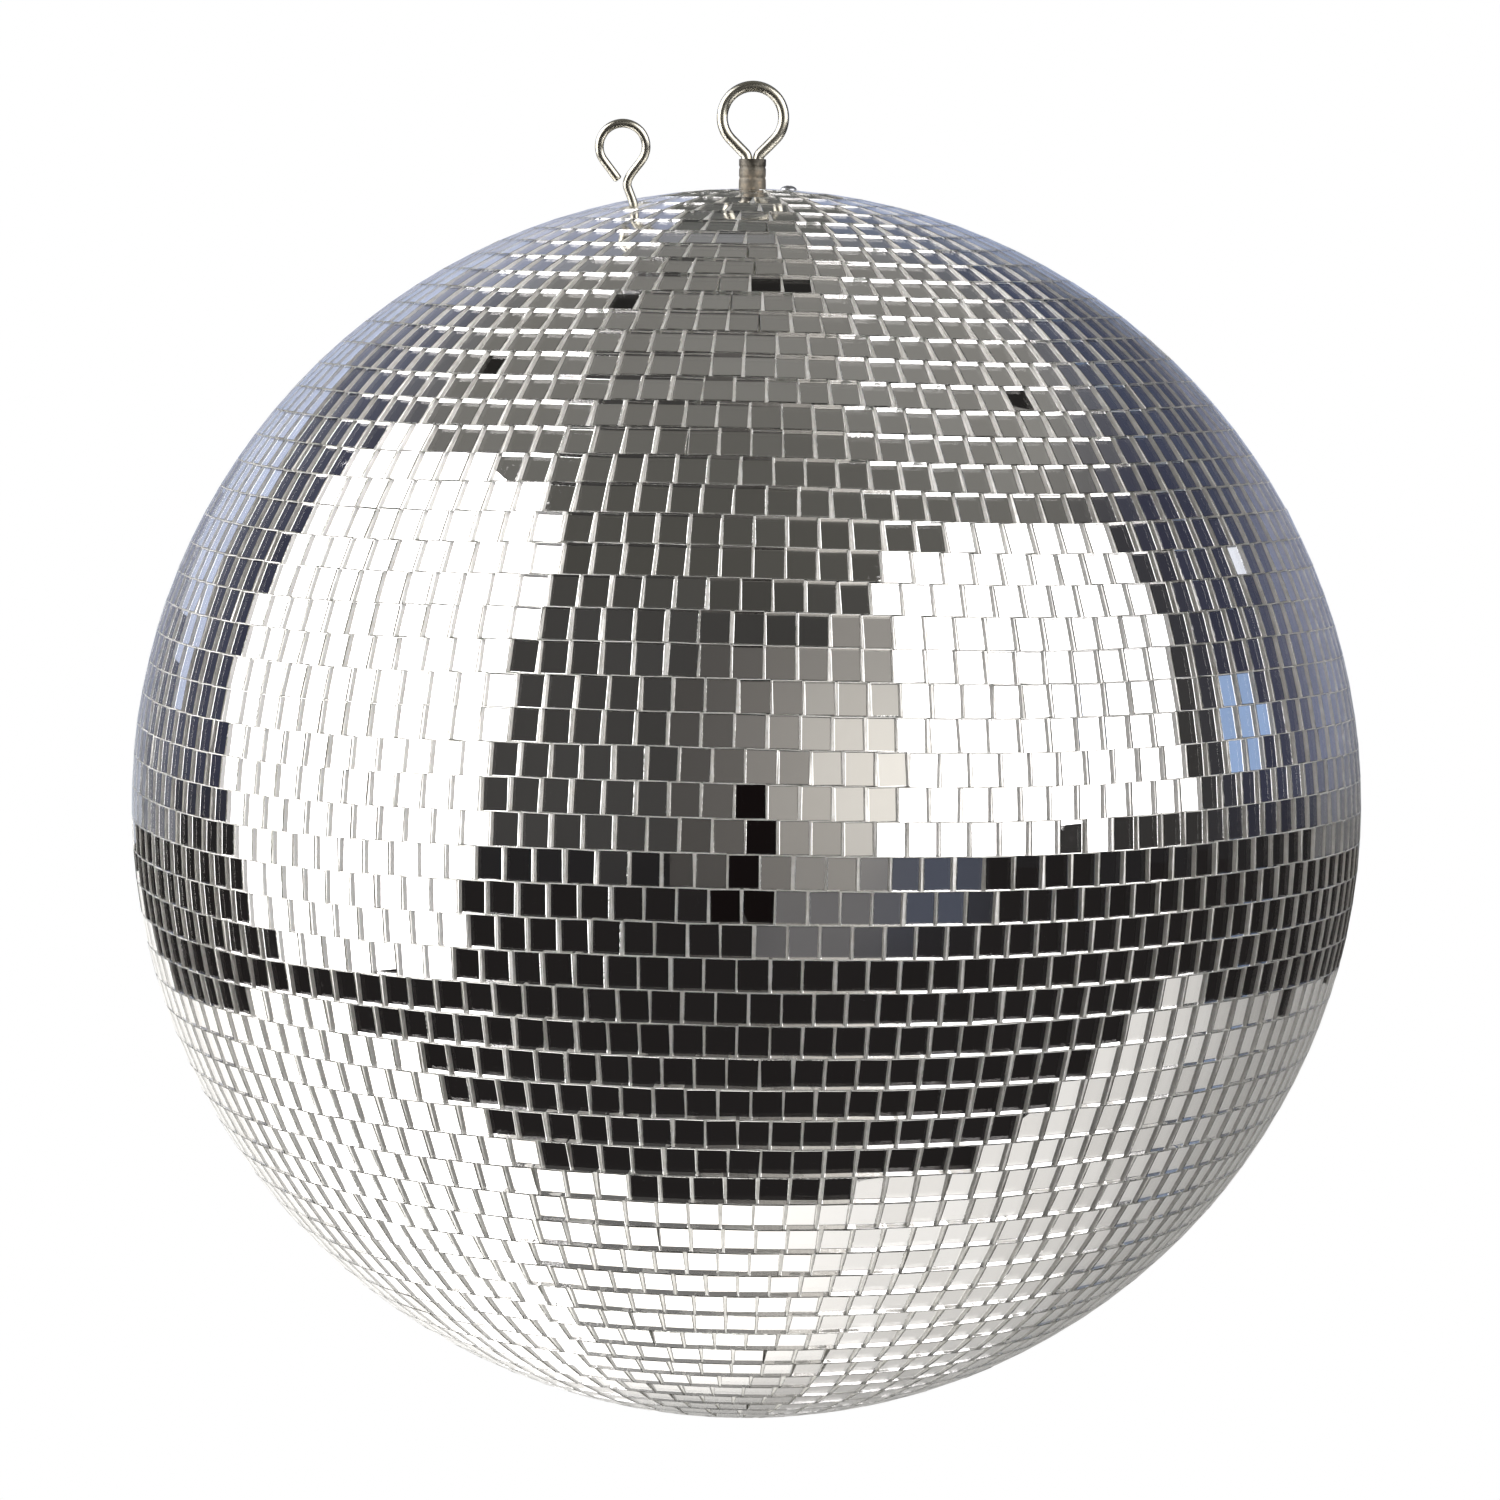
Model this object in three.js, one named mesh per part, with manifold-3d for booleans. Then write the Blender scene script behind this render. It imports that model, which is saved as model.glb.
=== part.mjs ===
// Mirror ball: a hollow two-part core covered with rings of mirror tiles, hung from a wire eye
// that swivels in a load plate at the top, with a second wire eye for a safety cable.
// Units are millimetres, +Z is up, and the origin is the hook's seat inside the top of the
// hanging eye.

import * as THREE from 'three';
import { mergeVertices } from 'three/addons/utils/BufferGeometryUtils.js';
import Module from 'manifold-3d';

const wasm = await Module();
wasm.setup();

// ---------------------------------------------------------------- driving dimensions

const GAP = 0.3; // clearance between neighbouring pieces
const SIDES = 36; // flats around every ring and shell of the ball

const BALL_RADIUS = 200;
const SEAT_TO_POLE = 30.9; // hook seat down to the tiles at the top of the ball
const TILE_THICKNESS = 1.8; // glass tile with its cloth backing
const TILE_ROWS = 61;
const ROWS_PER_BAND = 2;
const POLE_OPENING = 5; // radius left bare at each pole

const CORE_RADIUS = 197.6;
const CORE_WALL = 3;
const CORE_STEPS = 7; // flats from pole to equator
const POLE_HOLE = 5.4; // hole in the core and the load plate
const PAD_HEIGHT = 192.5; // flat pad inside the top of the core, above the ball's centre
const JOINT_RING = { outer: 193.2, inner: 190.2, halfHeight: 9 };

const EYE_WIRE = 1.8; // radius of the hanging eye's wire
const EYE_BEND = 9.9; // radius of the loop's centre line
const LEG_OFFSET = 1.85; // centre line of each leg from the axis
const LEG_BEND = 2.6;
const LEG_DEPTH = 8; // legs below the ferrule's mouth
const FERRULE = { outer: 4.4, inner: 3.95, above: 9.4, below: 6.4 }; // above and below the pole

const SHANK = 3;
const SHANK_COLLAR = 3.6;
const BUSH = { bore: 3.3, body: 5.1, flange: 8, flangeThickness: 1.5 };
const LOAD_PLATE = { radius: 24, thickness: 2.5 };
const SWIVEL_WASHER = { radius: 7, thickness: 1.5 };
const LOCK_NUT = { acrossFlats: 10, thickness: 5 };
const JAM_NUT = { acrossFlats: 10, thickness: 3 };
const SHANK_END = 2.5; // shank below the jam nut

const SCREW = { x: 11.8, y: 13.1, shaft: 1.5, head: 2.7, dome: 1.6 };
const SCREW_NUT = { acrossFlats: 5.5, thickness: 2.4 };

const SAFETY_BASE = { x: -37.5, y: -33 }; // where the stem leaves the tiles
const SAFETY_WIRE = 1.4;
const SAFETY_BEND = 7.4;
const SAFETY_RISE = 19.2; // tiles up to the middle of the eye
const SAFETY_NECK = { lean: -0.9, height: 6.5 }; // where the stem bends towards the eye
const SAFETY_OPEN_LEG = 7.6; // straight length of the open end
const SAFETY_STEM = 16; // stem below the tiles
const SAFETY_WASHER = { radius: 7, thickness: 1.5 };
const SAFETY_NUT = { acrossFlats: 5.5, thickness: 3 };
const SAFETY_BOSS = { radius: 9, seat: 8.5, root: 4 }; // pad inside the core, depths below tiles

// ---------------------------------------------------------------- derived places

const POLE = -SEAT_TO_POLE;
const BALL_CENTRE = POLE - BALL_RADIUS;
const POLE_ANGLE = Math.asin(POLE_OPENING / BALL_RADIUS);
const ROW_ANGLE = (Math.PI - 2 * POLE_ANGLE) / TILE_ROWS;
const FERRULE_TOP = POLE + FERRULE.above;
const FERRULE_BOTTOM = POLE - FERRULE.below;
const LEG_END = FERRULE_TOP - LEG_DEPTH;
const PLATE_TOP = BALL_CENTRE + PAD_HEIGHT - GAP;
const PLATE_BOTTOM = PLATE_TOP - LOAD_PLATE.thickness;
const FLANGE_TOP = PLATE_BOTTOM - GAP;
const FLANGE_BOTTOM = FLANGE_TOP - BUSH.flangeThickness;
const WASHER_TOP = FLANGE_BOTTOM - GAP;
const WASHER_BOTTOM = WASHER_TOP - SWIVEL_WASHER.thickness;
const LOCK_NUT_TOP = WASHER_BOTTOM - GAP;
const JAM_NUT_TOP = LOCK_NUT_TOP - LOCK_NUT.thickness - GAP;
const SHANK_BOTTOM = JAM_NUT_TOP - JAM_NUT.thickness - SHANK_END;

// ---------------------------------------------------------------- materials

const look = (color, roughness, metalness) =>
  new THREE.MeshStandardMaterial({ color, roughness, metalness });

const mirrorGlass = () => look(0xd9dde0, 0.05, 1);
const platedWire = () => look(0x9d9a90, 0.3, 1);
const dullSteel = () => look(0x6f6a60, 0.5, 1);
const zincSteel = () => look(0xa9abad, 0.4, 1);
const brass = () => look(0xb08d4a, 0.35, 1);
const corePlastic = () => look(0xe4e2dc, 0.7, 0);

// ---------------------------------------------------------------- shape helpers

// Solid of revolution about +Z. The profile is [radius, height] pairs, counter-clockwise.
function revolve(profile, sides) {
  const points = profile.map(([radius, height]) => new THREE.Vector2(radius, height));
  const geometry = new THREE.LatheGeometry(points, sides);
  geometry.rotateX(Math.PI / 2);
  return geometry;
}

function ring(inner, outer, bottom, top, sides) {
  return revolve(
    [[inner, bottom], [outer, bottom], [outer, top], [inner, top], [inner, bottom]],
    sides,
  );
}

function rod(radius, bottom, top, sides) {
  return revolve([[0, bottom], [radius, bottom], [radius, top], [0, top]], sides);
}

function hexNut(nut, bore, top) {
  const corner = nut.acrossFlats / 2 / Math.cos(Math.PI / 6);
  const outline = [];
  for (let i = 0; i < 6; i += 1) {
    const angle = (i * Math.PI) / 3;
    outline.push(new THREE.Vector2(corner * Math.cos(angle), corner * Math.sin(angle)));
  }
  const shape = new THREE.Shape(outline);
  const hole = [];
  for (let i = 0; i < 12; i += 1) {
    const angle = (-i * Math.PI) / 6;
    hole.push(new THREE.Vector2(bore * Math.cos(angle), bore * Math.sin(angle)));
  }
  shape.holes.push(new THREE.Path(hole));
  const geometry = new THREE.ExtrudeGeometry(shape, {
    depth: nut.thickness,
    bevelEnabled: false,
  });
  geometry.translate(0, 0, top - nut.thickness);
  return geometry;
}

// Round wire along points of a smooth centre line.
function wire(points, radius, sides, steps) {
  const section = [];
  for (let i = 0; i < sides; i += 1) {
    const angle = (i * 2 * Math.PI) / sides;
    section.push(new THREE.Vector2(radius * Math.cos(angle), radius * Math.sin(angle)));
  }
  const extrudePath = new THREE.CatmullRomCurve3(points, false, 'centripetal');
  return new THREE.ExtrudeGeometry(new THREE.Shape(section), { extrudePath, steps });
}

// Points on an arc in the XZ plane, with angles in degrees from +X towards +Z.
function arcXZ(centreX, centreZ, radius, startDegrees, endDegrees, count) {
  const points = [];
  for (let i = 0; i <= count; i += 1) {
    const degrees = startDegrees + ((endDegrees - startDegrees) * i) / count;
    const angle = THREE.MathUtils.degToRad(degrees);
    points.push(
      new THREE.Vector3(
        centreX + radius * Math.cos(angle),
        0,
        centreZ + radius * Math.sin(angle),
      ),
    );
  }
  return points;
}

function toManifold(geometry) {
  const bare = geometry.clone();
  bare.deleteAttribute('normal');
  bare.deleteAttribute('uv');
  const merged = mergeVertices(bare, 1e-4);
  return new wasm.Manifold(
    new wasm.Mesh({
      numProp: 3,
      vertProperties: new Float32Array(merged.attributes.position.array),
      triVerts: new Uint32Array(merged.index.array),
    }),
  );
}

function toGeometry(solid) {
  const mesh = solid.getMesh();
  const geometry = new THREE.BufferGeometry();
  geometry.setAttribute('position', new THREE.BufferAttribute(mesh.vertProperties, 3));
  geometry.setIndex(new THREE.BufferAttribute(mesh.triVerts, 1));
  geometry.computeVertexNormals();
  return geometry;
}

function cut(geometry, ...tools) {
  let solid = toManifold(geometry);
  for (const tool of tools) {
    solid = solid.subtract(toManifold(tool));
  }
  return toGeometry(solid);
}

function join(geometry, other) {
  return toGeometry(toManifold(geometry).add(toManifold(other)));
}

function piece(name, geometry, material) {
  const mesh = new THREE.Mesh(geometry, material);
  mesh.name = name;
  return mesh;
}

// ---------------------------------------------------------------- the safety eye's own axes

// Its Z runs out of the ball along the surface normal, and its X to the right of the eye.
function safetyMatrix() {
  const height = Math.sqrt(BALL_RADIUS ** 2 - SAFETY_BASE.x ** 2 - SAFETY_BASE.y ** 2);
  const outward = new THREE.Vector3(SAFETY_BASE.x, SAFETY_BASE.y, height).normalize();
  const right = new THREE.Vector3(0, 1, 0).cross(outward).normalize();
  const back = outward.clone().cross(right);
  const matrix = new THREE.Matrix4().makeBasis(right, back, outward);
  matrix.setPosition(SAFETY_BASE.x, SAFETY_BASE.y, BALL_CENTRE + height);
  return matrix;
}

const SAFETY = safetyMatrix();

// ---------------------------------------------------------------- holes through the ball's wall

const screwHole = () => {
  const hole = rod(SCREW.shaft + 0.4, PLATE_BOTTOM - 5, POLE + 5, 12);
  hole.translate(SCREW.x, SCREW.y, 0);
  return hole;
};

const stemHole = () => {
  const hole = rod(SAFETY_WIRE + 0.4, -SAFETY_STEM, 5, 12);
  hole.applyMatrix4(SAFETY);
  return hole;
};

// ---------------------------------------------------------------- hanger

// Half of the teardrop from the crown down to the end of the leg, on the +X side.
function hangingEyeHalf() {
  const upperCentre = EYE_WIRE - EYE_BEND;
  const cornerHeight = FERRULE_TOP + LEG_BEND * Math.tan(Math.PI / 8);
  const lowerCentre = cornerHeight + EYE_BEND * Math.SQRT2 - LEG_OFFSET;
  const half = [
    ...arcXZ(0, upperCentre, EYE_BEND, 90, 0, 6),
    ...arcXZ(0, lowerCentre, EYE_BEND, -6, -45, 3),
    ...arcXZ(LEG_OFFSET + LEG_BEND, FERRULE_TOP, LEG_BEND, 135, 180, 3),
  ];
  half.push(new THREE.Vector3(LEG_OFFSET, 0, (FERRULE_TOP + LEG_END) / 2));
  half.push(new THREE.Vector3(LEG_OFFSET, 0, LEG_END));
  return half;
}

function hangingEye() {
  const right = hangingEyeHalf();
  const left = right.slice(1).map((point) => new THREE.Vector3(-point.x, 0, point.z));
  const geometry = wire([...left.reverse(), ...right], EYE_WIRE, 10, 56);
  return piece('hanging_eye', geometry, platedWire());
}

function ferrule() {
  const geometry = ring(FERRULE.inner, FERRULE.outer, FERRULE_BOTTOM, FERRULE_TOP, 20);
  return piece('eye_ferrule', geometry, dullSteel());
}

function shank() {
  const profile = [
    [0, SHANK_BOTTOM],
    [SHANK - 0.5, SHANK_BOTTOM],
    [SHANK, SHANK_BOTTOM + 0.5],
    [SHANK, FERRULE_BOTTOM + GAP],
    [SHANK_COLLAR, FERRULE_BOTTOM + GAP],
    [SHANK_COLLAR, LEG_END - GAP],
    [0, LEG_END - GAP],
  ];
  return piece('hanger_shank', revolve(profile, 16), zincSteel());
}

function swivelWasher() {
  const geometry = ring(SHANK + GAP, SWIVEL_WASHER.radius, WASHER_BOTTOM, WASHER_TOP, 16);
  return piece('swivel_washer', geometry, brass());
}

function hanger() {
  const group = new THREE.Group();
  group.add(hangingEye());
  group.add(ferrule());
  group.add(shank());
  group.add(swivelWasher());
  group.add(piece('lock_nut', hexNut(LOCK_NUT, SHANK + GAP, LOCK_NUT_TOP), zincSteel()));
  group.add(piece('jam_nut', hexNut(JAM_NUT, SHANK + GAP, JAM_NUT_TOP), zincSteel()));
  return group;
}

// ---------------------------------------------------------------- core and its fittings

// Points on a sphere about the ball's centre, from one angle below +Z to another, in radians.
function meridian(radius, start, end, steps) {
  const points = [];
  for (let i = 0; i <= steps; i += 1) {
    const angle = start + ((end - start) * i) / steps;
    points.push([radius * Math.sin(angle), BALL_CENTRE + radius * Math.cos(angle)]);
  }
  return points;
}

function coreUpperHalf() {
  const inner = CORE_RADIUS - CORE_WALL;
  const seam = Math.PI / 2 - GAP / 2 / CORE_RADIUS;
  const profile = [
    ...meridian(CORE_RADIUS, seam, Math.asin(POLE_HOLE / CORE_RADIUS), CORE_STEPS),
    [POLE_HOLE, BALL_CENTRE + PAD_HEIGHT],
    ...meridian(inner, Math.acos(PAD_HEIGHT / inner), seam, CORE_STEPS),
  ];
  profile.push(profile[0]);
  const boss = rod(SAFETY_BOSS.radius, -SAFETY_BOSS.seat, -SAFETY_BOSS.root, 16);
  boss.applyMatrix4(SAFETY);
  const shell = join(revolve(profile, SIDES), boss);
  return piece('core_upper_half', cut(shell, screwHole(), stemHole()), corePlastic());
}

function coreLowerHalf() {
  const inner = CORE_RADIUS - CORE_WALL;
  const seam = Math.PI / 2 + GAP / 2 / CORE_RADIUS;
  const profile = [
    ...meridian(CORE_RADIUS, Math.PI, seam, CORE_STEPS),
    ...meridian(inner, seam, Math.PI, CORE_STEPS),
  ];
  profile[0][0] = 0;
  profile[profile.length - 1][0] = 0;
  return piece('core_lower_half', revolve(profile, SIDES), corePlastic());
}

function coreJointRing() {
  const bottom = BALL_CENTRE - JOINT_RING.halfHeight;
  const top = BALL_CENTRE + JOINT_RING.halfHeight;
  const geometry = ring(JOINT_RING.inner, JOINT_RING.outer, bottom, top, SIDES);
  return piece('core_joint_ring', geometry, corePlastic());
}

function loadPlate() {
  const disc = ring(POLE_HOLE, LOAD_PLATE.radius, PLATE_BOTTOM, PLATE_TOP, SIDES);
  return piece('load_plate', cut(disc, screwHole()), zincSteel());
}

function poleBush() {
  const profile = [
    [BUSH.bore, FLANGE_BOTTOM],
    [BUSH.flange, FLANGE_BOTTOM],
    [BUSH.flange, FLANGE_TOP],
    [BUSH.body, FLANGE_TOP],
    [BUSH.body, FERRULE_BOTTOM - GAP],
    [BUSH.bore, FERRULE_BOTTOM - GAP],
    [BUSH.bore, FLANGE_BOTTOM],
  ];
  return piece('pole_bush', revolve(profile, SIDES), brass());
}

// Domed screw that keeps the load plate from turning inside the core.
function locatingScrew() {
  const reach = Math.hypot(SCREW.x, SCREW.y) - SCREW.head;
  const seat = BALL_CENTRE + Math.sqrt(BALL_RADIUS ** 2 - reach ** 2) + GAP / 2;
  const end = PLATE_BOTTOM - GAP - SCREW_NUT.thickness - 2;
  const profile = [
    [0, end],
    [SCREW.shaft, end],
    [SCREW.shaft, seat],
    [SCREW.head, seat],
    [SCREW.head * 0.94, seat + SCREW.dome * 0.45],
    [SCREW.head * 0.65, seat + SCREW.dome * 0.82],
    [0, seat + SCREW.dome],
  ];
  const screw = piece('locating_screw', revolve(profile, 12), zincSteel());
  screw.position.set(SCREW.x, SCREW.y, 0);
  return screw;
}

function locatingNut() {
  const top = PLATE_BOTTOM - GAP;
  const nut = piece(
    'locating_nut',
    hexNut(SCREW_NUT, SCREW.shaft + GAP, top),
    zincSteel(),
  );
  nut.position.set(SCREW.x, SCREW.y, 0);
  return nut;
}

// ---------------------------------------------------------------- tiles

// One ring of cloth-backed mirror tiles, two rows high, the last one row high.
function tileBand(index) {
  const firstRow = index * ROWS_PER_BAND;
  const lastRow = Math.min(firstRow + ROWS_PER_BAND, TILE_ROWS);
  const margin = GAP / 2 / BALL_RADIUS;
  const top = POLE_ANGLE + firstRow * ROW_ANGLE + margin;
  const bottom = POLE_ANGLE + lastRow * ROW_ANGLE - margin;
  const profile = [
    ...meridian(BALL_RADIUS, bottom, top, 1),
    ...meridian(BALL_RADIUS - TILE_THICKNESS, top, bottom, 1),
  ];
  profile.push(profile[0]);
  const band = revolve(profile, SIDES);
  const name = `tile_band_${String(index + 1).padStart(2, '0')}`;
  const stemAngle = Math.asin(Math.hypot(SAFETY_BASE.x, SAFETY_BASE.y) / BALL_RADIUS);
  const screwAngle = Math.asin(Math.hypot(SCREW.x, SCREW.y) / BALL_RADIUS);
  if (stemAngle > top && stemAngle < bottom) {
    return piece(name, cut(band, stemHole()), mirrorGlass());
  }
  if (screwAngle > top && screwAngle < bottom) {
    return piece(name, cut(band, screwHole()), mirrorGlass());
  }
  return piece(name, band, mirrorGlass());
}

function bottomTile() {
  const surface = BALL_CENTRE - BALL_RADIUS * Math.cos(POLE_ANGLE);
  const geometry = rod(POLE_OPENING - 0.6, surface, surface + TILE_THICKNESS, 12);
  return piece('bottom_tile', geometry, mirrorGlass());
}

// ---------------------------------------------------------------- safety eye

// Open end, up round the eye and down the stem, in the safety eye's own XZ plane.
function safetyCentreLine() {
  const endTangent = 206;
  const eye = arcXZ(0, SAFETY_RISE, SAFETY_BEND, endTangent, -45, 14);
  const open = THREE.MathUtils.degToRad(endTangent);
  const tip = eye[0].clone();
  tip.x -= Math.sin(open) * SAFETY_OPEN_LEG;
  tip.z += Math.cos(open) * SAFETY_OPEN_LEG;
  const last = eye[eye.length - 1];
  const neck = new THREE.CubicBezierCurve3(
    last,
    new THREE.Vector3(last.x - SAFETY_WIRE * 2, 0, last.z - SAFETY_WIRE * 2),
    new THREE.Vector3(SAFETY_NECK.lean, 0, SAFETY_NECK.height + SAFETY_WIRE * 2),
    new THREE.Vector3(SAFETY_NECK.lean, 0, SAFETY_NECK.height),
  );
  return [
    tip,
    tip.clone().lerp(eye[0], 0.5),
    ...eye,
    ...neck.getPoints(4).slice(1),
    new THREE.Vector3(0, 0, 0),
    new THREE.Vector3(0, 0, -SAFETY_STEM),
  ];
}

function onStem(mesh) {
  mesh.position.setFromMatrixPosition(SAFETY);
  mesh.quaternion.setFromRotationMatrix(SAFETY);
  return mesh;
}

function safetyEye() {
  return onStem(piece('safety_eye', wire(safetyCentreLine(), SAFETY_WIRE, 8, 54), platedWire()));
}

function safetyWasher() {
  const top = -SAFETY_BOSS.seat - GAP;
  const geometry = ring(
    SAFETY_WIRE + GAP,
    SAFETY_WASHER.radius,
    top - SAFETY_WASHER.thickness,
    top,
    16,
  );
  return onStem(piece('safety_washer', geometry, zincSteel()));
}

function safetyNut() {
  const top = -SAFETY_BOSS.seat - SAFETY_WASHER.thickness - 2 * GAP;
  const geometry = hexNut(SAFETY_NUT, SAFETY_WIRE + GAP, top);
  return onStem(piece('safety_nut', geometry, zincSteel()));
}

// ---------------------------------------------------------------- assembly

function ball() {
  const group = new THREE.Group();
  group.add(coreUpperHalf());
  group.add(coreLowerHalf());
  group.add(coreJointRing());
  group.add(loadPlate());
  group.add(poleBush());
  group.add(locatingScrew());
  group.add(locatingNut());
  group.add(safetyWasher());
  group.add(bottomTile());
  const bands = Math.ceil(TILE_ROWS / ROWS_PER_BAND);
  for (let index = 0; index < bands; index += 1) {
    group.add(tileBand(index));
  }
  return group;
}

const mirrorBall = new THREE.Group();
mirrorBall.add(hanger());
mirrorBall.add(ball());
mirrorBall.add(safetyEye());
mirrorBall.add(safetyNut());

export default mirrorBall;
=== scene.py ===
"""Mirror ball hung from a wire eye: its looks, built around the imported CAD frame.

Metres, +Z up, in the CAD's frame: the origin is the hook's seat inside the top of the hanging eye.
The ball's own directions are given as a longitude (0 faces -Y, positive towards +X) and a latitude.
"""

import random
from math import asin, ceil, cos, pi, radians, sin, sqrt, tan

import bmesh
import bpy
from mathutils import Matrix, Vector


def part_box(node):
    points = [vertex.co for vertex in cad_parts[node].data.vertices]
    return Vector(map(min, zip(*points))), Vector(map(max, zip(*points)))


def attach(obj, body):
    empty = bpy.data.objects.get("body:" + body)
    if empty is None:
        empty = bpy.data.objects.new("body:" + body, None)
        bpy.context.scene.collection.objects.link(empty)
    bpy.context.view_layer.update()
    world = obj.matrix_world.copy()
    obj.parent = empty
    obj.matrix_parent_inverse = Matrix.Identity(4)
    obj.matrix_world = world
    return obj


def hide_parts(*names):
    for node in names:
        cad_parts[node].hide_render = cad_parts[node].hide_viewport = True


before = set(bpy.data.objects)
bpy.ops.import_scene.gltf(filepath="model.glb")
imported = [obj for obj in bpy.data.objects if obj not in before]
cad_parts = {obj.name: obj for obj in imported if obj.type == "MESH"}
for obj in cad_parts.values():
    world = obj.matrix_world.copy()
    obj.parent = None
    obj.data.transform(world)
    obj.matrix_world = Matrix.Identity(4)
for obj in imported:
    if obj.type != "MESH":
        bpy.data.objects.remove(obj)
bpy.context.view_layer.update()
rng = random.Random(7)

# ---------------------------------------------------------------- driving dimensions

BALL_RADIUS = 0.2
POLE_ANGLE = asin(0.005 / BALL_RADIUS)  # half angle left bare at each pole
TILE_ROWS = 61
ROW_ANGLE = (pi - 2 * POLE_ANGLE) / TILE_ROWS
ROWS_PER_BAND = 2

TILE_PITCH = 0.0096  # along a row
TILE_WIDTH = 0.0088
TILE_HEIGHT = 0.0098
TILE_GLASS = 0.00185
TILE_CHAMFER = 0.0001
GLUE_LINE = 0.0003  # glue wets the tiles' side edges up to this depth below their faces
TILE_FACE = 0.1998  # middle of a tile's face from the ball's centre
TILE_MIN_WIDTH = 0.003
GAP_MIN = 0.00035  # least gap between the tiles of a row

# Hand work: typical errors, drawn at random for each tile.
WIDTH_ERROR = 0.00008
HEIGHT_ERROR = 0.00004
CORNER_ERROR = 0.00006  # most that a corner strays
SPACING_ERROR = 0.00012  # along the row
ROW_ERROR = radians(0.015)  # across the row
TWIST = radians(0.75)  # in the tile's own plane
TILT = radians(0.25)
LOOSE_SHARE = 0.03  # share of the tiles that sit crooked
LOOSE_TILT = radians(1.3)
MOST_TILT = radians(2.0)
TONE_RANGE = (0.35, 0.95)  # dullest and brightest silvering

GLUE_DEPTH = 0.0003  # from the tiles' faces down to the glue between them
GLUE_CLEARANCE = 0.00006
GLUE_WIDTHS = (0.00012, 0.0022)  # narrowest and widest gap that holds a ridge of glue
GLUE_UNEVEN = (0.6, 1.4)  # times GLUE_DEPTH
LIP_UNEVEN = (0.8, 1.8)  # times GLUE_DEPTH
LIP_SPAN = (0.12, 0.72)  # part of the gap between rows that the lip of glue fills
LIP_MIN_GAP = 0.0001
CLOTH_OUTER = 0.19775
CLOTH_INNER = 0.19762
CLOTH_MARGIN = 0.0002  # radians bare along each edge of a strip

ROW_LEAN = radians(0.6)  # the rows were laid a little out of level
LEAN_FADE = radians(20)  # the lean fades out within this angle of the top pole

FERRULE_RADIUS = 0.0044
FERRULE_BORE = 0.00395
FERRULE_LIP = 0.0002
CRIMPS = (0.62, 0.84)  # places up the ferrule, as shares of its height
CRIMP_WIDTH = 0.035  # half of it, as a share of the height
CRIMP_DEPTH = 0.00022
DENT = 0.012  # share of the radius
DENT_WAVES = 700  # radians of the dents' wave to a metre of height
DARK_TOP_HEIGHT = 0.008  # darkened part of the ferrule, down from its top

SCREW = {"x": 0.0118, "y": 0.0131, "shaft": 0.0015, "head": 0.0027, "dome": 0.0016}
SCREW_POINT = 0.0003  # chamfer at the shaft's end
SCREW_EDGE = 0.0001  # chamfer around the head
SCREW_ROOM = 0.0004  # from the shaft to the tiles
RECESS_ARM = (0.0027, 0.0006, 0.0014)
RECESS_TURN = 0.4

END_CHAMFER = 0.25  # of a wire's ends, as a share of its radius
EYE_WIRE = 0.0018
EYE_BEND = 0.0099
LEG_OFFSET = 0.00185
LEG_BEND = 0.0026
LEG_DEPTH = 0.008

SAFETY_BASE = (-0.0375, -0.033)
SAFETY_WIRE = 0.0014
SAFETY_BEND = 0.0074
SAFETY_RISE = 0.0192
SAFETY_NECK = (-0.0009, 0.0065)  # x and z of the neck's lower end
SAFETY_OPEN_LEG = 0.0076
SAFETY_OPEN_TANGENT = 206  # degrees, where the open leg leaves the bend
SAFETY_STEM = 0.016  # inside the ball
SAFETY_FOOT_PULL = 0.0022  # curve handle above the foot, which straightens the wire there
SAFETY_ROOM = 0.0006  # from the wire to the tiles
OBSTACLE_REACH = 0.02  # tiles further than this from an obstacle are left whole

CAMERA_ELEVATION = radians(6)
CAMERA_DISTANCE = 1.7
CAMERA_ROLL = radians(0.55)
CAMERA_LENS = 124.6
CAMERA_SHIFT = (0.0024, 0.0355)
FLOOR_DROP = 3.0  # ball's centre above the floor
FLOOR_HALF = 30.0
FLOOR_LAYER = 0.02  # between one sheet on the floor and the next
STUDIO_RADIUS = 6.0
STUDIO_LAYER = 0.4  # between things in front of or behind one another
SHELL_RADIUS = 25.0
LEFT_GLOW = 5.2
RIGHT_GLOW = 3.8
SHEET_TONE = (1, 0.985, 0.955, 1)
SOFTBOX_TONE = (1, 0.985, 0.99, 1)

ring_low, ring_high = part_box("core_joint_ring")
CENTRE = Vector((0, 0, (ring_low.z + ring_high.z) / 2))
FERRULE_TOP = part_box("eye_ferrule")[1].z
FERRULE_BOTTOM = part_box("eye_ferrule")[0].z
LEG_END = FERRULE_TOP - LEG_DEPTH

GLASS, EDGE, SILVER, CLOTH, GLUE = range(5)  # a strip's materials, in order

# ---------------------------------------------------------------- camera


def make_camera():
    data = bpy.data.cameras.new("camera")
    camera = bpy.data.objects.new("camera", data)
    bpy.context.scene.collection.objects.link(camera)
    bpy.context.scene.camera = camera
    data.sensor_width = 36
    data.lens = CAMERA_LENS
    data.shift_x, data.shift_y = CAMERA_SHIFT
    back = Vector((0, -cos(CAMERA_ELEVATION), sin(CAMERA_ELEVATION)))
    turn = (-back).to_track_quat("-Z", "Y").to_matrix().to_4x4()
    roll = Matrix.Rotation(CAMERA_ROLL, 4, "Z")
    camera.matrix_world = Matrix.Translation(CENTRE + back * CAMERA_DISTANCE) @ turn @ roll


# ---------------------------------------------------------------- material helpers


def srgb(value):
    """Linear amount of an 8-bit display level."""
    share = value / 255
    return share / 12.92 if share <= 0.04045 else ((share + 0.055) / 1.055) ** 2.4


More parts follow.
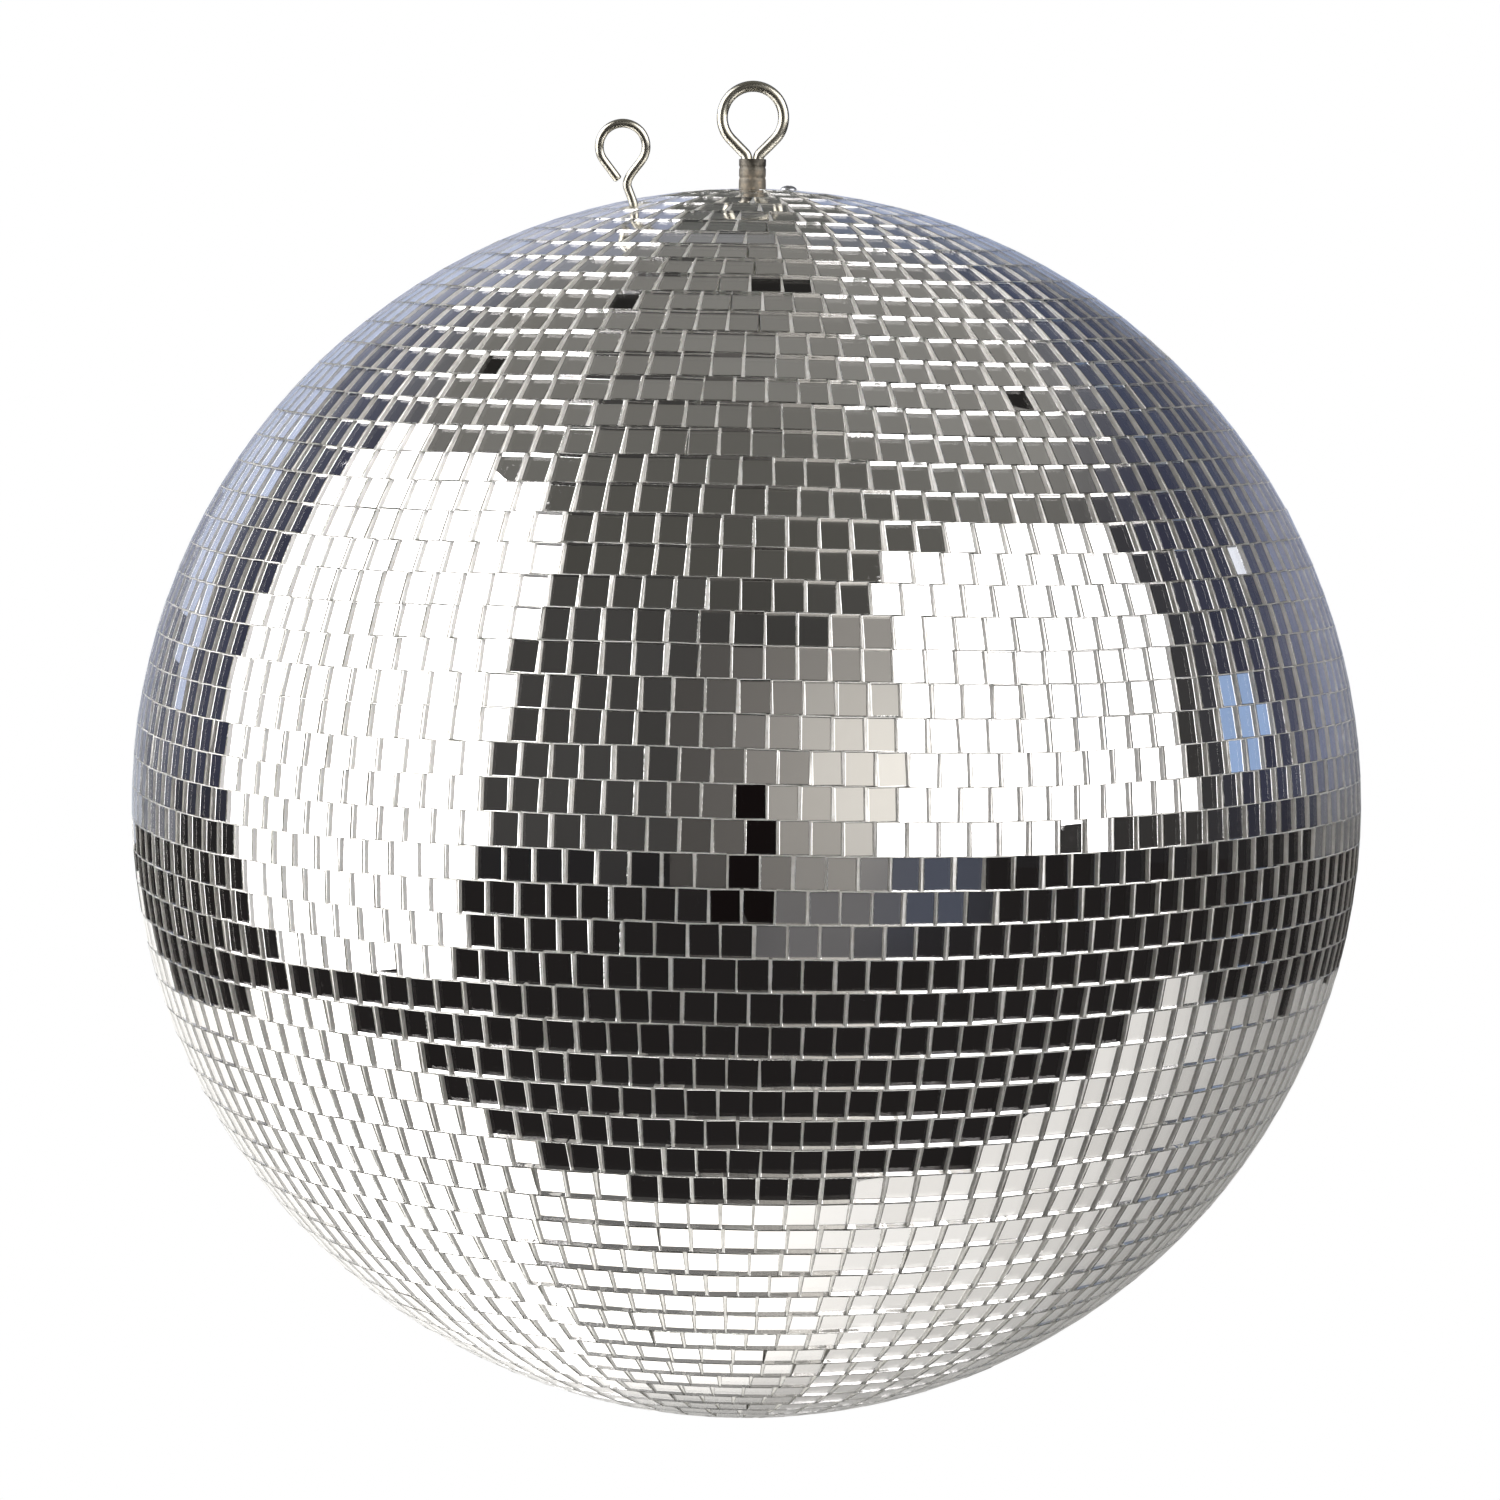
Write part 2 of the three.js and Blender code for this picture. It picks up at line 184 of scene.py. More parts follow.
def colour(red, green, blue):
    return (srgb(red), srgb(green), srgb(blue), 1)


class Nodes:
    """A node material with short ways to add the nodes that this scene uses."""

    def __init__(self, name):
        self.material = bpy.data.materials.new(name)
        self.material.use_nodes = True
        self.tree = self.material.node_tree
        self.shader = self.tree.nodes["Principled BSDF"]

    def link(self, output, target):
        self.tree.links.new(output, target)

    def add(self, kind, **settings):
        node = self.tree.nodes.new(kind)
        for key, value in settings.items():
            setattr(node, key, value)
        return node

    def position(self):
        return self.add("ShaderNodeTexCoord").outputs["Object"]

    def noise(self, scale, detail=3.0, roughness=0.5):
        node = self.add("ShaderNodeTexNoise")
        node.inputs["Scale"].default_value = scale
        node.inputs["Detail"].default_value = detail
        node.inputs["Roughness"].default_value = roughness
        self.link(self.position(), node.inputs["Vector"])
        return node.outputs["Fac"]

    def remap(self, value, low, high, to_low, to_high, curve="LINEAR"):
        node = self.add("ShaderNodeMapRange", interpolation_type=curve)
        for index, number in enumerate((low, high, to_low, to_high)):
            node.inputs[index + 1].default_value = number
        self.link(value, node.inputs[0])
        return node.outputs[0]

    def ramp(self, value, *stops):
        node = self.add("ShaderNodeValToRGB")
        elements = node.color_ramp.elements
        while len(elements) < len(stops):
            elements.new(0.5)
        for element, (place, tone) in zip(elements, stops):
            element.position = place
            element.color = tone
        self.link(value, node.inputs[0])
        return node.outputs[0]

    def math(self, operation, first, second):
        node = self.add("ShaderNodeMath", operation=operation)
        self.link(first, node.inputs[0])
        self.link(second, node.inputs[1])
        return node.outputs[0]

    def base_colour(self, value, *stops):
        self.link(self.ramp(value, *stops), self.shader.inputs["Base Color"])

    def gloss(self, value, low, high, to_low, to_high):
        self.link(self.remap(value, low, high, to_low, to_high), self.shader.inputs["Roughness"])

    def glow(self, tone, strength):
        """Make the whole material glow. Tone and strength are plain values or node outputs."""
        node = self.add("ShaderNodeEmission")
        for socket, value in zip(node.inputs, (tone, strength)):
            if isinstance(value, bpy.types.NodeSocket):
                self.link(value, socket)
            else:
                socket.default_value = value
        self.link(node.outputs["Emission"], self.tree.nodes["Material Output"].inputs["Surface"])
        self.tree.nodes.remove(self.shader)

    def bump(self, height, strength, distance):
        node = self.add("ShaderNodeBump")
        node.inputs["Strength"].default_value = strength
        node.inputs["Distance"].default_value = distance
        self.link(height, node.inputs["Height"])
        self.link(node.outputs["Normal"], self.shader.inputs["Normal"])

    def set(self, **values):
        for key, value in values.items():
            self.shader.inputs[key.replace("_", " ")].default_value = value


# ---------------------------------------------------------------- materials


def tile_glass():
    """Polished front of a tile: clear glass with a trace of dust."""
    n = Nodes("tile_glass")
    n.set(Base_Color=(1, 1, 1, 1), IOR=1.5, Transmission_Weight=1.0)
    n.gloss(n.noise(900, 4), 0.62, 0.8, 0.0, 0.05)
    return n.material


def tile_edge():
    """Scored and snapped edge of the glass, faintly green and finely rippled."""
    n = Nodes("tile_edge")
    n.set(IOR=1.5, Transmission_Weight=1.0, Roughness=0.06)
    ripple = n.noise(1400, 3)
    n.base_colour(ripple, (0.3, (0.93, 0.97, 0.94, 1)), (0.8, (1, 1, 1, 1)))
    n.bump(ripple, 0.35, 0.0002)
    return n.material


def tile_silver():
    """Silvering behind the glass, with each tile's own tone and slight clouding."""
    n = Nodes("tile_silver")
    n.set(Metallic=1.0)
    tone = n.add("ShaderNodeAttribute", attribute_name="tile_tone").outputs["Fac"]
    cloud = n.remap(n.noise(260, 4), 0.35, 0.75, 0.0, -0.05)
    total = n.math("ADD", tone, cloud)
    n.base_colour(total, (0.0, (0.78, 0.76, 0.74, 1)), (1.0, (1, 0.99, 0.98, 1)))
    n.gloss(n.noise(500, 3), 0.55, 0.8, 0.0, 0.03)
    return n.material


def tile_cloth():
    """White woven backing that the tiles are glued to."""
    n = Nodes("tile_cloth")
    n.set(Roughness=0.85)
    weave = n.add("ShaderNodeTexWave", wave_type="BANDS", bands_direction="DIAGONAL")
    weave.inputs["Scale"].default_value = 900
    weave.inputs["Distortion"].default_value = 1.5
    n.link(n.position(), weave.inputs["Vector"])
    n.base_colour(n.noise(220, 4), (0.3, colour(226, 224, 218)), (0.7, colour(246, 245, 241)))
    n.bump(weave.outputs["Fac"], 0.4, 0.0002)
    return n.material


def plated_wire():
    """Bright plating over drawn wire, with a few dull, yellowed spots."""
    n = Nodes("plated_wire")
    n.set(Metallic=1.0)
    spots = n.noise(160, 5, 0.6)
    n.base_colour(
        spots,
        (0.3, colour(166, 162, 148)),
        (0.55, colour(184, 181, 169)),
        (0.8, colour(174, 164, 136)),
    )
    n.gloss(spots, 0.3, 0.8, 0.24, 0.32)
    return n.material


def ferrule_steel():
    """Dull brownish steel tube, stained, and darker towards its top."""
    n = Nodes("ferrule_steel")
    n.set(Metallic=0.6)
    height = n.add("ShaderNodeSeparateXYZ")
    n.link(n.position(), height.inputs[0])
    # colour darkens over the top part of the ferrule, set by height alone
    top_darkening = n.remap(height.outputs["Z"], FERRULE_TOP - DARK_TOP_HEIGHT, FERRULE_TOP, 0.06, -0.14)
    stain_and_darker_top = n.math("ADD", n.noise(330, 6, 0.65), top_darkening)
    n.base_colour(
        stain_and_darker_top,
        (0.3, colour(66, 62, 55)),
        (0.5, colour(106, 101, 91)),
        (0.62, colour(126, 117, 103)),
        (0.78, colour(170, 152, 130)),
    )
    n.gloss(stain_and_darker_top, 0.3, 0.8, 0.42, 0.65)
    n.bump(n.noise(1500, 5), 0.3, 0.0002)
    return n.material


def metal(name, dark, light, rough_low, rough_high, scale):
    """Metal with soft blotches of tone and matching changes of gloss."""
    n = Nodes(name)
    n.set(Metallic=1.0)
    blotch = n.noise(scale, 5, 0.6)
    n.base_colour(blotch, (0.3, dark), (0.7, light))
    n.gloss(blotch, 0.3, 0.7, rough_low, rough_high)
    n.bump(n.noise(scale * 8, 3), 0.2, 0.0001)
    return n.material


def core_plastic():
    """Off-white moulded plastic with a fine texture."""
    n = Nodes("core_plastic")
    n.base_colour(n.noise(40, 5), (0.3, colour(214, 211, 202)), (0.7, colour(232, 230, 223)))
    n.gloss(n.noise(120, 3), 0.3, 0.7, 0.5, 0.7)
    n.bump(n.noise(900, 2), 0.3, 0.0003)
    return n.material


def tile_glue():
    """Glue squeezed up between the tiles: uneven, part milky, part shiny."""
    n = Nodes("tile_glue")
    n.set(Roughness=0.42, Metallic=0.55)
    lumps = n.noise(420, 4)
    n.base_colour(lumps, (0.3, colour(228, 226, 219)), (0.7, colour(250, 249, 246)))
    n.bump(lumps, 0.5, 0.0003)
    return n.material


# ---------------------------------------------------------------- mesh helpers


def make_object(name, vertices, faces, materials=(), smooth=False):
    mesh = bpy.data.meshes.new(name)
    mesh.from_pydata(vertices, [], faces)
    mesh.update()
    for material in materials:
        mesh.materials.append(material)
    if smooth:
        mesh.shade_smooth()
    obj = bpy.data.objects.new(name, mesh)
    bpy.context.scene.collection.objects.link(obj)
    return obj


def direction(longitude, latitude):
    """Unit vector from the ball's centre, with both angles in radians."""
    return Vector(
        (
            cos(latitude) * sin(longitude),
            -cos(latitude) * cos(longitude),
            sin(latitude),
        )
    )


def tube(name, points, radius, sides, material):
    """Round wire along points in the XZ plane, with chamfered ends."""
    side_axis = Vector((0, 1, 0))
    rings = []
    last = len(points) - 1
    for i, point in enumerate(points):
        ahead = points[min(i + 1, last)] - points[max(i - 1, 0)]
        ahead.normalize()
        across = side_axis.cross(ahead).normalized()
        rings.append((point, ahead, across, radius))
    first, final = rings[0], rings[-1]
    edge = radius * END_CHAMFER
    rings[0] = (first[0] + first[1] * edge, *first[1:])
    rings[-1] = (final[0] - final[1] * edge, *final[1:])
    rings.insert(0, (first[0], first[1], first[2], radius - edge))
    rings.append((final[0], final[1], final[2], radius - edge))
    vertices = []
    for point, _, across, size in rings:
        for k in range(sides):
            angle = 2 * pi * k / sides
            vertices.append(point + (across * cos(angle) + side_axis * sin(angle)) * size)
    faces = [list(reversed(range(sides)))]
    for i in range(len(rings) - 1):
        for k in range(sides):
            a = i * sides + k
            b = i * sides + (k + 1) % sides
            faces.append([a, b, b + sides, a + sides])
    top = (len(rings) - 1) * sides
    faces.append([top + k for k in range(sides)])
    obj = make_object(name, vertices, faces, [material], smooth=True)
    tidy_normals(obj)
    return obj


def tidy_normals(obj):
    build = bmesh.new()
    build.from_mesh(obj.data)
    bmesh.ops.remove_doubles(build, verts=build.verts, dist=1e-7)
    bmesh.ops.recalc_face_normals(build, faces=build.faces)
    build.to_mesh(obj.data)
    build.free()


def revolve(name, profile, sides, material, centre=(0, 0, 0), warp=None):
    """Solid turned about +Z. The (radius, height) pairs close on themselves or on the axis."""
    vertices = []
    for radius, height in profile:
        for k in range(sides):
            angle = 2 * pi * k / sides
            reach = radius if warp is None else radius * warp(angle, height)
            vertices.append(
                (
                    centre[0] + reach * cos(angle),
                    centre[1] + reach * sin(angle),
                    centre[2] + height,
                )
            )
    faces = []
    closed = profile[0][0] > 0 and profile[-1][0] > 0
    steps = len(profile) if closed else len(profile) - 1
    for i in range(steps):
        j = (i + 1) % len(profile)
        for k in range(sides):
            m = (k + 1) % sides
            faces.append([i * sides + k, i * sides + m, j * sides + m, j * sides + k])
    obj = make_object(name, vertices, faces, [material], smooth=True)
    tidy_normals(obj)
    obj.data.set_sharp_from_angle(angle=radians(40))
    return obj


# ---------------------------------------------------------------- tiles


def safety_matrix():
    """The safety eye's axes: Z out of the ball, X to the right of the eye."""
    height = sqrt(BALL_RADIUS**2 - SAFETY_BASE[0] ** 2 - SAFETY_BASE[1] ** 2)
    outward = Vector((*SAFETY_BASE, height)).normalized()
    right = Vector((0, 1, 0)).cross(outward).normalized()
    back = outward.cross(right)
    matrix = Matrix((right, back, outward)).transposed().to_4x4()
    return Matrix.Translation(Vector((*SAFETY_BASE, CENTRE.z + height))) @ matrix


SAFETY = safety_matrix()


def row_wave(longitude, latitude):
    """How far a hand-laid row strays from its own latitude, in radians."""
    # The slow wave and the dips are in degrees.
    slow = 0.28 * sin(2 * longitude + 0.6 + 1.7 * latitude)
    dip = 0.32 * sin(5 * longitude + 2.6 - 0.9 * latitude) * cos(latitude - 0.7) ** 2
    fade = cos(latitude) ** 0.5
    return radians(slow + dip) * fade


def obstacles():
    """Places where something comes out through the tiles, and the room each one needs."""
    screw_height = sqrt(BALL_RADIUS**2 - SCREW["x"] ** 2 - SCREW["y"] ** 2)
    return (
        (SAFETY.translation - CENTRE, SAFETY_WIRE + SAFETY_ROOM),
        (Vector((SCREW["x"], SCREW["y"], screw_height)), SCREW["shaft"] + SCREW_ROOM),
    )


OBSTACLES = obstacles()


def tile_frame(longitude, latitude):
    """Outward, right and up of a tile that lies at a place on the ball, with the rows' lean."""
    outward = direction(longitude, latitude)
    right = Vector((cos(longitude), sin(longitude), 0))
    up = outward.cross(right)
    from_pole = pi / 2 - latitude
    share = min(1, from_pole / LEAN_FADE)
    lean = Matrix.Rotation(ROW_LEAN * share, 3, "Y")
    return lean @ outward, lean @ right, lean @ up


def tile_outline(centre, right, up, widths, height):
    """Corners of a tile in its own plane, trimmed clear of the obstacles.

    Gives None if too little is left.
    """
    west_south = -widths[0] / 2
    east_south = widths[0] / 2
    west_north = -widths[1] / 2
    east_north = widths[1] / 2
    for place, clearance in OBSTACLES:
        away = place - centre
        x, y = away.dot(right), away.dot(up)
        if away.length > OBSTACLE_REACH or abs(y) > height / 2 + clearance:
            continue
        if abs(x) > max(widths) / 2 + clearance:
            continue
        if x > 0:
            east_south = min(east_south, x - clearance)
            east_north = min(east_north, x - clearance)
        else:
            west_south = max(west_south, x + clearance)
            west_north = max(west_north, x + clearance)
    if min(east_south - west_south, east_north - west_north) < TILE_MIN_WIDTH:
        return None
    half = height / 2
    return [(west_south, -half), (east_south, -half), (east_north, half), (west_north, half)]


def add_tile(store, longitude, latitude, widths, height):
    """One tile with its own errors.

    Gives its first vertex, or None if an obstacle leaves no room for it.
    """
    outward, right, up = tile_frame(longitude, latitude)
    tilt = LOOSE_TILT if rng.random() < LOOSE_SHARE else TILT
    nod, yaw = (max(-MOST_TILT, min(MOST_TILT, rng.gauss(0, tilt))) for _ in range(2))
    turn = Matrix.Rotation(nod, 3, right) @ Matrix.Rotation(yaw, 3, up)
    turn = turn @ Matrix.Rotation(rng.gauss(0, TWIST), 3, outward)
    strays = [[rng.uniform(-1, 1) * CORNER_ERROR for _ in range(2)] for _ in range(4)]
    tone = rng.uniform(*TONE_RANGE)
    middle = outward * TILE_FACE
    outline = tile_outline(middle, right, up, widths, height)
    if outline is None:
        return None
    right, up, outward = turn @ right, turn @ up, turn @ outward
    first = len(store["vertices"])
    rings = ((TILE_CHAMFER, 0), (0, TILE_CHAMFER), (0, GLUE_LINE), (0, TILE_GLASS))
    for inset, depth in rings:
        for (x, y), (dx, dy) in zip(outline, strays):
            x += dx - (inset if x > 0 else -inset)
            y += dy - (inset if y > 0 else -inset)
            store["vertices"].append(CENTRE + middle + right * x + up * y - outward * depth)
    store["faces"].append([first, first + 1, first + 2, first + 3])
    store["kinds"].append(GLASS)
    for ring in (0, 4, 8):
        for k in range(4):
            m = (k + 1) % 4
            a = first + ring
            store["faces"].append([a + k, a + 4 + k, a + 4 + m, a + m])
            glued = ring == 8 and k in (1, 3)  # the side edges below the glue line
            store["kinds"].append(GLUE if glued else EDGE)
    store["faces"].append([first + 15, first + 14, first + 13, first + 12])
    store["kinds"].append(SILVER)
    store["tones"].extend([tone] * 16)
    return first


def add_glue(store, west_tile, east_tile):
    """Low ridge of glue in the gap between two tiles of a row, given by their first vertices."""
    depth = GLUE_DEPTH * rng.uniform(*GLUE_UNEVEN)
    vertices = store["vertices"]
    south = (vertices[west_tile + 5], vertices[east_tile + 4])
    north = (vertices[west_tile + 6], vertices[east_tile + 7])
    corners = []
    for west, east in (south, north):
        across = east - west
        room = across.length - 2 * GLUE_CLEARANCE
        if not GLUE_WIDTHS[0] < room < GLUE_WIDTHS[1]:
            return
        across.normalize()
        corners.append((west + across * GLUE_CLEARANCE, east - across * GLUE_CLEARANCE))
    outline = (corners[0][0], corners[0][1], corners[1][1], corners[1][0])
    outward = (outline[0] - CENTRE).normalized()
    add_box(store, outline, outward, (depth, TILE_GLASS - 2 * TILE_CHAMFER))


def add_box(store, outline, outward, levels):
    """Closed block of glue below an outline of four corners."""
    vertices = store["vertices"]
    first = len(vertices)
    for level in levels:
        vertices.extend(point - outward * level for point in outline)
    store["faces"].append([first, first + 1, first + 2, first + 3])
    store["faces"].append([first + 7, first + 6, first + 5, first + 4])
    for k in range(4):
        m = (k + 1) % 4
        store["faces"].append([first + k, first + 4 + k, first + 4 + m, first + m])
    store["kinds"].extend([GLUE] * 6)
    store["tones"].extend([1] * 8)


def add_lip(store, tile, gap):
    """Glue squeezed out along the upper edge of a tile, into the gap to the row above."""
    vertices = store["vertices"]
    west, east = vertices[tile + 7], vertices[tile + 6]
    north = (west - vertices[tile + 4]).normalized()
    outward = (west - CENTRE).normalized()
    depth = GLUE_DEPTH * rng.uniform(*LIP_UNEVEN)
    near, far = (north * share * gap for share in LIP_SPAN)
    outline = (west + near, east + near, east + far, west + far)
    add_box(store, outline, outward, (depth, TILE_GLASS - 2 * TILE_CHAMFER))


def add_row(store, row):
    """All the tiles of one row, counted from the top, and the glue beside and above them."""
    from_pole = POLE_ANGLE + (row + 0.5) * ROW_ANGLE
    latitude = pi / 2 - from_pole
    around = 2 * pi * BALL_RADIUS
    count = max(5, round(around * sin(from_pole) / TILE_PITCH))
    room_south = around * sin(from_pole + ROW_ANGLE / 2) / count - GAP_MIN
    room_north = around * sin(from_pole - ROW_ANGLE / 2) / count - GAP_MIN
    start = rng.uniform(-pi, pi)
    tiles = []
    for k in range(count):
        shift = rng.gauss(0, SPACING_ERROR) / (BALL_RADIUS * sin(from_pole))
        longitude = start + 2 * pi * k / count + shift
        wave = row_wave(longitude, latitude)
        place = latitude + wave + rng.gauss(0, ROW_ERROR)
        width = TILE_WIDTH + rng.gauss(0, WIDTH_ERROR)
        widths = (min(width, room_south), min(width, room_north))
        height = TILE_HEIGHT + rng.gauss(0, HEIGHT_ERROR)
        tile = add_tile(store, longitude, place, widths, height)
        tiles.append(tile)
        gap = ROW_ANGLE + row_wave(longitude, latitude + ROW_ANGLE) - wave
        gap = gap * BALL_RADIUS - TILE_HEIGHT
        if tile is not None and row > 0 and gap > LIP_MIN_GAP:
            add_lip(store, tile, gap)
    for west, east in zip(tiles, tiles[1:] + tiles[:1]):
        if west is not None and east is not None:
            add_glue(store, west, east)


def add_cloth(store, first_row, last_row):
    """The backing strip under the rows: a closed ring of smooth, thin cloth."""
    sides = 144
    steps = 4
    top = POLE_ANGLE + first_row * ROW_ANGLE + CLOTH_MARGIN
    bottom = POLE_ANGLE + last_row * ROW_ANGLE - CLOTH_MARGIN
    outer = [(CLOTH_OUTER, top + (bottom - top) * i / steps) for i in range(steps + 1)]
    inner = [(CLOTH_INNER, angle) for _, angle in reversed(outer)]
    profile = outer + inner
    base = len(store["vertices"])
    for radius, angle in profile:
        for k in range(sides):
            outward = direction(2 * pi * k / sides, pi / 2 - angle)
            store["vertices"].append(CENTRE + outward * radius)
            store["tones"].append(1)
    for i in range(len(profile)):
        this = base + i * sides
        following = base + (i + 1) % len(profile) * sides
        for k in range(sides):
            m = (k + 1) % sides
            store["faces"].append([this + k, following + k, following + m, this + m])
            store["kinds"].append(CLOTH)


def make_band(index, materials):
    """One strip of tiles on its cloth, in place of the CAD's faceted ring."""
    store = {"vertices": [], "faces": [], "kinds": [], "tones": []}
    first_row = index * ROWS_PER_BAND
    last_row = min(first_row + ROWS_PER_BAND, TILE_ROWS)
    for row in range(first_row, last_row):
        add_row(store, row)
    add_cloth(store, first_row, last_row)
    name = f"mirror_strip_{index + 1:02d}"
    band = make_object(name, store["vertices"], store["faces"], materials)
    band.data.polygons.foreach_set("material_index", store["kinds"])
    tone = band.data.attributes.new("tile_tone", "FLOAT", "POINT")
    tone.data.foreach_set("value", store["tones"])
    for polygon, kind in zip(band.data.polygons, store["kinds"]):
        polygon.use_smooth = kind == CLOTH
    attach(band, "ball")
    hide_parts(f"tile_band_{index + 1:02d}")


def make_tiles():
    materials = [tile_glass(), tile_edge(), tile_silver(), tile_cloth(), tile_glue()]
    for index in range(ceil(TILE_ROWS / ROWS_PER_BAND)):
        make_band(index, materials)


# ---------------------------------------------------------------- wire eyes


def arc(centre_x, centre_z, radius, start, end, count):
    """Points on an arc in the XZ plane, with angles in degrees from +X towards +Z."""
    points = []
    for i in range(count + 1):
        angle = radians(start + (end - start) * i / count)
        points.append(Vector((centre_x + radius * cos(angle), 0, centre_z + radius * sin(angle))))
    return points


def line(start, end, count):
    """Points after start, up to end."""
    return [start.lerp(end, (i + 1) / count) for i in range(count)]


def hanging_eye_line():
    """Teardrop loop with both legs down to their ends inside the ferrule."""
    upper = EYE_WIRE - EYE_BEND
    corner = FERRULE_TOP + LEG_BEND * tan(pi / 8)
    lower = corner + EYE_BEND * sqrt(2) - LEG_OFFSET
    half = arc(0, upper, EYE_BEND, 90, 0, 30)
    half += arc(0, lower, EYE_BEND, 0, -45, 16)
    bend = arc(LEG_OFFSET + LEG_BEND, FERRULE_TOP, LEG_BEND, 135, 180, 8)
    half += line(half[-1], bend[0], 4)
    half += bend[1:]
    half += line(bend[-1], Vector((LEG_OFFSET, 0, LEG_END)), 4)
    left = [Vector((-point.x, 0, point.z)) for point in half[1:]]
    return list(reversed(left)) + half


def bezier(a, b, c, d, count):
    """Points after a, up to d."""
    points = []
    for i in range(1, count + 1):
        t = i / count
        s = 1 - t
        points.append(a * s**3 + b * (3 * s * s * t) + c * (3 * s * t * t) + d * t**3)
    return points


def safety_eye_line():
    """Open eye from its free tip round to the neck, then the stem down into the ball."""
    eye = arc(0, SAFETY_RISE, SAFETY_BEND, SAFETY_OPEN_TANGENT, -45, 48)
    open_angle = radians(SAFETY_OPEN_TANGENT)
    tip = eye[0] + Vector((-sin(open_angle), 0, cos(open_angle))) * SAFETY_OPEN_LEG
    last = eye[-1]
    knee = Vector((SAFETY_NECK[0], 0, SAFETY_NECK[1]))
    neck = bezier(
        last,
        last + Vector((-2 * SAFETY_WIRE, 0, -2 * SAFETY_WIRE)),
        knee + Vector((0, 0, 2 * SAFETY_WIRE)),
        knee,
        12,
    )
    foot = Vector((0, 0, 0))
    return (
        [tip]
        + line(tip, eye[0], 5)
        + eye[1:]
        + neck
        + bezier(knee, knee.lerp(foot, 0.35), Vector((0, 0, SAFETY_FOOT_PULL)), foot, 6)
        + line(foot, Vector((0, 0, -SAFETY_STEM)), 6)
    )


def make_eyes(material):
    eye = tube("wire_hanging_eye", hanging_eye_line(), EYE_WIRE, 28, material)
    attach(eye, "hanger")
    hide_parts("hanging_eye")
    safety = tube("wire_safety_eye", safety_eye_line(), SAFETY_WIRE, 24, material)
    safety.matrix_world = SAFETY
    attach(safety, "safety_eye")
    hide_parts("safety_eye")


def make_ferrule(material):
    """Crimped tube: chamfered lips, two shallow crimp bands and a little dented out of round."""
    outer = FERRULE_RADIUS
    lip = FERRULE_LIP
    height = FERRULE_TOP - FERRULE_BOTTOM
    steps = 40
    profile = [(FERRULE_BORE, 0.0), (outer - lip, 0.0), (outer, lip)]
    for i in range(1, steps):
        share = i / steps
        depth = sum(
            CRIMP_DEPTH * max(0, 1 - ((share - place) / CRIMP_WIDTH) ** 2) for place in CRIMPS
        )
        profile.append((outer - depth, lip + (height - 2 * lip) * share))
    profile += [(outer, height - lip), (outer - lip, height), (FERRULE_BORE, height)]

    def dent(angle, z):
        """Pressed in on two opposite sides, more and less along the height."""
        return 1 - DENT * max(0, cos(2 * angle)) * (0.5 + 0.5 * sin(DENT_WAVES * z))

    ferrule = revolve("crimped_ferrule", profile, 48, material, (0, 0, FERRULE_BOTTOM), dent)
    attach(ferrule, "hanger")
    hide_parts("eye_ferrule")


def make_screw(material):
    """Domed screw head with a cross recess, on its shaft."""
    low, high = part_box("locating_screw")
    head, shaft, dome = SCREW["head"], SCREW["shaft"], SCREW["dome"]
    seat = high.z - dome
    profile = [(0.0, low.z), (shaft - SCREW_POINT, low.z), (shaft, low.z + SCREW_POINT)]
    profile += [(shaft, seat), (head - SCREW_EDGE, seat), (head, seat + SCREW_EDGE)]
    steps = 8
    for i in range(1, steps):
        angle = i / steps * pi / 2
        rise = (dome - SCREW_EDGE) * sin(angle)
        profile.append((head * cos(angle), seat + SCREW_EDGE + rise))
    profile.append((0.0, high.z))
    screw = revolve("domed_screw", profile, 32, material, (SCREW["x"], SCREW["y"], 0))
    cut = bmesh.new()
    for turn in (RECESS_TURN, RECESS_TURN + pi / 2):
        made = bmesh.ops.create_cube(cut, size=1)
        shape = Matrix.Translation((SCREW["x"], SCREW["y"], high.z))
        shape = shape @ Matrix.Rotation(turn, 4, "Z") @ Matrix.Diagonal((*RECESS_ARM, 1))
        bmesh.ops.transform(cut, matrix=shape, verts=made["verts"])
    mesh = bpy.data.meshes.new("cross_recess")
    cut.to_mesh(mesh)
    cut.free()
    cutter = bpy.data.objects.new("cross_recess", mesh)
    bpy.context.scene.collection.objects.link(cutter)
    boolean = screw.modifiers.new("recess", "BOOLEAN")
    boolean.operation = "DIFFERENCE"
    boolean.use_self = True
    boolean.object = cutter
    graph = bpy.context.evaluated_depsgraph_get()
    carved = bpy.data.meshes.new_from_object(screw.evaluated_get(graph))
    screw.modifiers.clear()
    screw.data = carved
    screw.data.materials.clear()
    screw.data.materials.append(material)
    bpy.data.objects.remove(cutter)
    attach(screw, "ball")
    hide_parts("locating_screw")


# ---------------------------------------------------------------- CAD pieces that keep their shape


def dress_cad(materials):
    """Better materials on the CAD nodes that keep their own shape."""
    slots = {
        "hanger_shank": "zinc",
        "swivel_washer": "brass",
        "lock_nut": "zinc",
        "jam_nut": "zinc",
        "core_upper_half": "plastic",
        "core_lower_half": "plastic",
        "core_joint_ring": "plastic",
        "load_plate": "zinc",
        "pole_bush": "brass",
        "locating_nut": "zinc",
        "safety_washer": "zinc",
        "safety_nut": "zinc",
        "bottom_tile": "silver",
    }
    for node, key in slots.items():
        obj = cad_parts[node]
        if not obj.material_slots:
            obj.data.materials.append(materials[key])
        for item in obj.material_slots:
            item.material = materials[key]


# ---------------------------------------------------------------- studio


def emission(name, tone=None, strength=1.0):
    """Glowing stage material: one tone, or the mesh's own painted colours."""
    n = Nodes(name)
    if tone is None:
        tone = n.add("ShaderNodeVertexColor", layer_name="paint").outputs["Color"]
    n.glow(tone, strength)
    return n.material


def reflected_only(obj):
    """Stage piece that shows in the ball but not to the camera."""
    obj.visible_camera = False
    obj.visible_shadow = False


